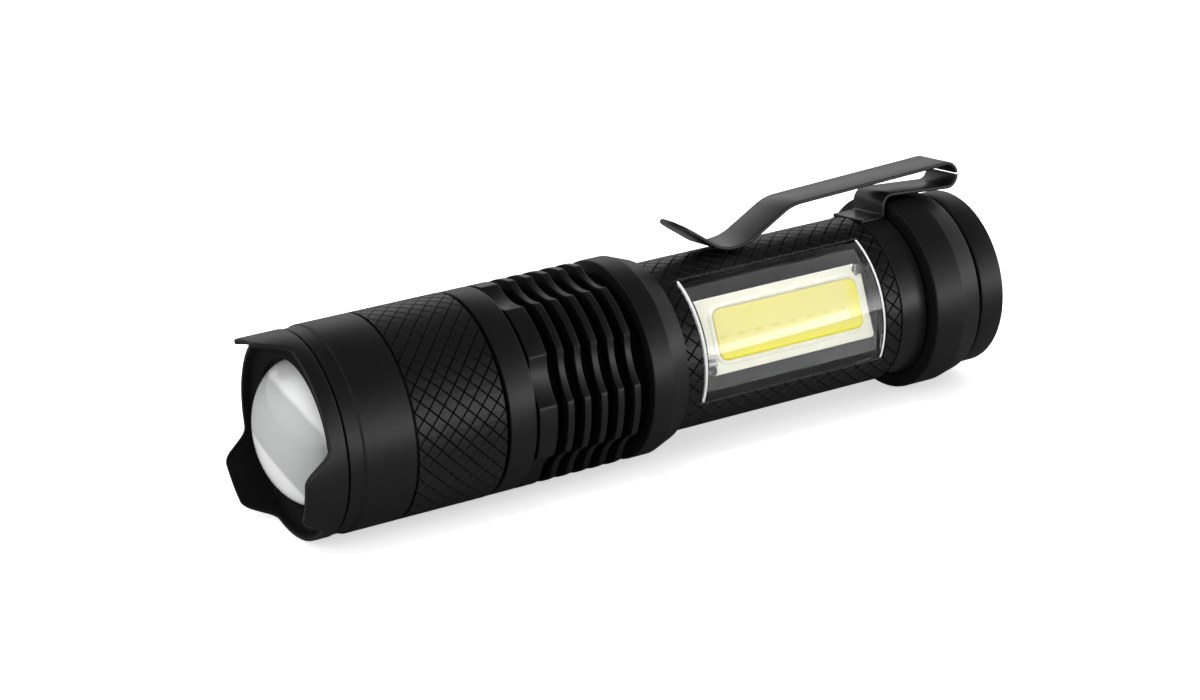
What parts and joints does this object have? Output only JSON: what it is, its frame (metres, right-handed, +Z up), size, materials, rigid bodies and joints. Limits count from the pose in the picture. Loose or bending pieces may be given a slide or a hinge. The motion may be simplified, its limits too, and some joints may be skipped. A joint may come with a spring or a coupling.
{
  "type": "pocket flashlight",
  "caption": "Black pocket flashlight with a sliding zoom head, notched crown, finned body, side work light, recessed tail button and a spring pocket clip that turns on its collar.",
  "frame": {"origin": "on the table under the middle of the flashlight's length, lying on its side", "axes": "+Z up, +X along the axis from the lens towards the tail button, -Y the side of the work light"},
  "size_m": [0.1084, 0.0274, 0.0314],
  "materials": {
    "black_anodised": "satin black anodised",
    "bare_aluminium": "machined",
    "black_spring_steel": "gloss black",
    "lens_clear": "clear polished",
    "black_rubber": "matte",
    "white_board": "white solder mask over metal core",
    "white_plastic": "matte white",
    "emitter_ceramic": "matte",
    "yellow_phosphor": "matte silicone",
    "circuit_board": "green solder mask",
    "moulded_black": "matte",
    "lead_red": "satin insulation",
    "nickel_steel": "nickel plated",
    "brass": "turned",
    "cell_wrap": "plastic wrap over a metal can",
    "switch_plastic": "matte"
  },
  "bodies": {
    "barrel": {"barrel": "black_anodised", "led_holder": "bare_aluminium", "zoom_o_ring": "black_rubber", "led_star_board": "white_board", "led_package": "emitter_ceramic", "led_dome": "lens_clear", "led_insulator": "white_plastic", "driver_board": "circuit_board", "driver_chip": "moulded_black", "driver_coil": "moulded_black", "driver_spring": "nickel_steel", "cell_can": "cell_wrap", "cell_positive_cap": "nickel_steel", "strip_cover": "lens_clear", "strip_board": "white_board", "strip_phosphor": "yellow_phosphor", "strip_lead_red": "lead_red", "strip_lead_black": "moulded_black", "tail_o_ring": "black_rubber"},
    "zoom_head": {"zoom_head": "black_anodised", "bezel_crown": "black_anodised", "lens": "lens_clear", "lens_gasket": "black_rubber"},
    "tail_cap": {"tail_cap": "black_anodised", "switch_retainer": "brass", "switch_board": "circuit_board", "switch_housing": "switch_plastic", "boot_flange": "black_rubber", "tail_spring": "nickel_steel"},
    "tail_button": {"button_boot": "black_rubber", "switch_plunger": "switch_plastic"},
    "clip_collar": {"clip_collar": "black_spring_steel"},
    "clip_arm": {"clip_arm": "black_spring_steel"}
  },
  "joints": [
    {"name": "zoom_slide", "type": "slide", "parent": "barrel", "child": "zoom_head", "axis": [-1, 0, 0], "range_m": [0, 0.0095]},
    {"name": "tail_cap_off", "type": "slide", "parent": "barrel", "child": "tail_cap", "axis": [1, 0, 0], "range_m": [0, 0.02]},
    {"name": "button_press", "type": "slide", "parent": "tail_cap", "child": "tail_button", "axis": [-1, 0, 0], "range_m": [0, 0.0011], "stiffness_N_per_m": 2000},
    {"name": "clip_swivel", "type": "hinge", "parent": "tail_cap", "child": "clip_collar", "pos_m": [0.039, 0, 0.01372], "axis": [1, 0, 0], "continuous": true},
    {"name": "clip_flex", "type": "hinge", "parent": "clip_collar", "child": "clip_arm", "pos_m": [0.05334, 0.00268, 0.02892], "axis": [0, 0.9848, -0.1736], "range_deg": [0, 8], "stiffness_Nm_per_rad": 2.5}
  ]
}
